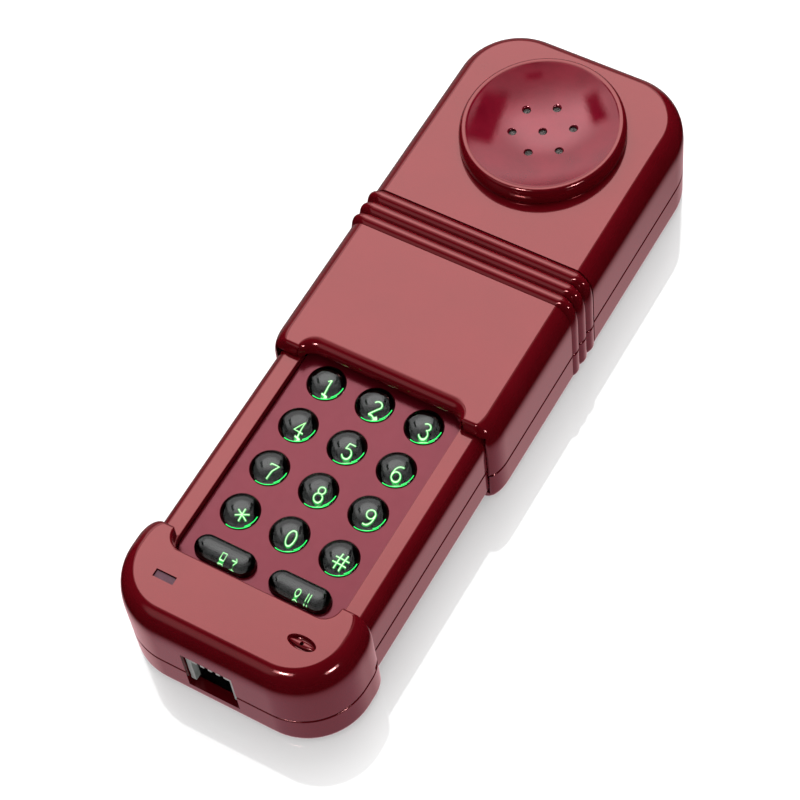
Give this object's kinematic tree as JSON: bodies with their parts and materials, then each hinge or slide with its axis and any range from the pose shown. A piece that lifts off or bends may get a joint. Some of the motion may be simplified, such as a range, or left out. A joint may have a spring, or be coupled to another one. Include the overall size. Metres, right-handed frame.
{
  "type": "slide telephone handset",
  "caption": "Compact telephone whose keypad body slides out of an outer sleeve, with an oval raised ear dish and a modular line jack in the end.",
  "frame": {"origin": "under the middle of the opened phone, on the surface it lies on", "axes": "+X across the phone to the right, +Y towards the ear end, +Z out of the front face"},
  "size_m": [0.0608, 0.184, 0.0346],
  "materials": {
    "burgundy": "polished deep burgundy moulding",
    "burgundy_panel": "satin burgundy plate",
    "smoked_key": "smoked translucent black, lit from inside",
    "grey_jack": "pale grey moulding",
    "silicone": "translucent silicone",
    "circuit_board": "green lacquered laminate",
    "black_plastic": "plain black moulding",
    "steel": "plated steel",
    "brass": "gold-plated spring brass",
    "led": "clear green lamp",
    "smoked_lens": "smoked lens",
    "foam": "soft foam and rubber"
  },
  "bodies": {
    "body": {"body_front_shell": "burgundy", "body_rear_shell": "burgundy", "keypad_faceplate": "burgundy_panel", "line_jack": "grey_jack", "keymat": "silicone", "main_board": "circuit_board", "hook_switch": "black_plastic", "lever_bracket": "black_plastic", "cap_screw_left": "steel", "cap_screw_right": "steel", "tail_screw_left": "steel", "tail_screw_right": "steel", "detent_spring_left": "steel", "detent_spring_right": "steel", "microphone_capsule": "steel", "selector_switch": "steel", "jack_contacts": "brass", "ringer_disc": "brass", "backlight_led_1_left": "led", "backlight_led_1_right": "led", "backlight_led_2_left": "led", "backlight_led_2_right": "led", "indicator_led": "led", "indicator_lens": "smoked_lens", "microphone_boot": "foam"},
    "sleeve": {"sleeve_front_shell": "burgundy", "sleeve_rear_shell": "burgundy", "sleeve_screw_left": "steel", "sleeve_screw_right": "steel", "ear_gasket": "foam", "receiver_capsule": "black_plastic", "receiver_retainer": "black_plastic", "retainer_screw_left": "steel", "retainer_screw_right": "steel"},
    "key_1": {"key_1": "smoked_key"},
    "key_2": {"key_2": "smoked_key"},
    "key_3": {"key_3": "smoked_key"},
    "key_4": {"key_4": "smoked_key"},
    "key_5": {"key_5": "smoked_key"},
    "key_6": {"key_6": "smoked_key"},
    "key_7": {"key_7": "smoked_key"},
    "key_8": {"key_8": "smoked_key"},
    "key_9": {"key_9": "smoked_key"},
    "key_star": {"key_star": "smoked_key"},
    "key_0": {"key_0": "smoked_key"},
    "key_hash": {"key_hash": "smoked_key"},
    "key_oval_left": {"key_oval_left": "smoked_key"},
    "key_oval_right": {"key_oval_right": "smoked_key"},
    "hook_lever": {"hook_lever": "black_plastic"},
    "selector_knob": {"selector_knob": "black_plastic"}
  },
  "joints": [
    {"name": "sleeve_slide", "type": "slide", "parent": "body", "child": "sleeve", "axis": [0, -1, 0], "range_m": [0, 0.052]},
    {"name": "key_1_press", "type": "slide", "parent": "body", "child": "key_1", "axis": [0, 0, -1], "range_m": [0, 0.0012], "stiffness_N_per_m": 300, "springref_m": -0.0005},
    {"name": "key_2_press", "type": "slide", "parent": "body", "child": "key_2", "axis": [0, 0, -1], "range_m": [0, 0.0012], "stiffness_N_per_m": 300, "springref_m": -0.0005},
    {"name": "key_3_press", "type": "slide", "parent": "body", "child": "key_3", "axis": [0, 0, -1], "range_m": [0, 0.0012], "stiffness_N_per_m": 300, "springref_m": -0.0005},
    {"name": "key_4_press", "type": "slide", "parent": "body", "child": "key_4", "axis": [0, 0, -1], "range_m": [0, 0.0012], "stiffness_N_per_m": 300, "springref_m": -0.0005},
    {"name": "key_5_press", "type": "slide", "parent": "body", "child": "key_5", "axis": [0, 0, -1], "range_m": [0, 0.0012], "stiffness_N_per_m": 300, "springref_m": -0.0005},
    {"name": "key_6_press", "type": "slide", "parent": "body", "child": "key_6", "axis": [0, 0, -1], "range_m": [0, 0.0012], "stiffness_N_per_m": 300, "springref_m": -0.0005},
    {"name": "key_7_press", "type": "slide", "parent": "body", "child": "key_7", "axis": [0, 0, -1], "range_m": [0, 0.0012], "stiffness_N_per_m": 300, "springref_m": -0.0005},
    {"name": "key_8_press", "type": "slide", "parent": "body", "child": "key_8", "axis": [0, 0, -1], "range_m": [0, 0.0012], "stiffness_N_per_m": 300, "springref_m": -0.0005},
    {"name": "key_9_press", "type": "slide", "parent": "body", "child": "key_9", "axis": [0, 0, -1], "range_m": [0, 0.0012], "stiffness_N_per_m": 300, "springref_m": -0.0005},
    {"name": "key_star_press", "type": "slide", "parent": "body", "child": "key_star", "axis": [0, 0, -1], "range_m": [0, 0.0012], "stiffness_N_per_m": 300, "springref_m": -0.0005},
    {"name": "key_0_press", "type": "slide", "parent": "body", "child": "key_0", "axis": [0, 0, -1], "range_m": [0, 0.0012], "stiffness_N_per_m": 300, "springref_m": -0.0005},
    {"name": "key_hash_press", "type": "slide", "parent": "body", "child": "key_hash", "axis": [0, 0, -1], "range_m": [0, 0.0012], "stiffness_N_per_m": 300, "springref_m": -0.0005},
    {"name": "key_oval_left_press", "type": "slide", "parent": "body", "child": "key_oval_left", "axis": [0, 0, -1], "range_m": [0, 0.0012], "stiffness_N_per_m": 300, "springref_m": -0.0005},
    {"name": "key_oval_right_press", "type": "slide", "parent": "body", "child": "key_oval_right", "axis": [0, 0, -1], "range_m": [0, 0.0012], "stiffness_N_per_m": 300, "springref_m": -0.0005},
    {"name": "hook_lever_pivot", "type": "hinge", "parent": "body", "child": "hook_lever", "pos_m": [0.02, -0.002, 0.0081], "axis": [1, 0, 0], "range_deg": [0, 4], "stiffness_Nm_per_rad": 0.02, "springref_deg": -3.44},
    {"name": "selector_slide", "type": "slide", "parent": "body", "child": "selector_knob", "axis": [1, 0, 0], "range_m": [0, 0.002]}
  ]
}
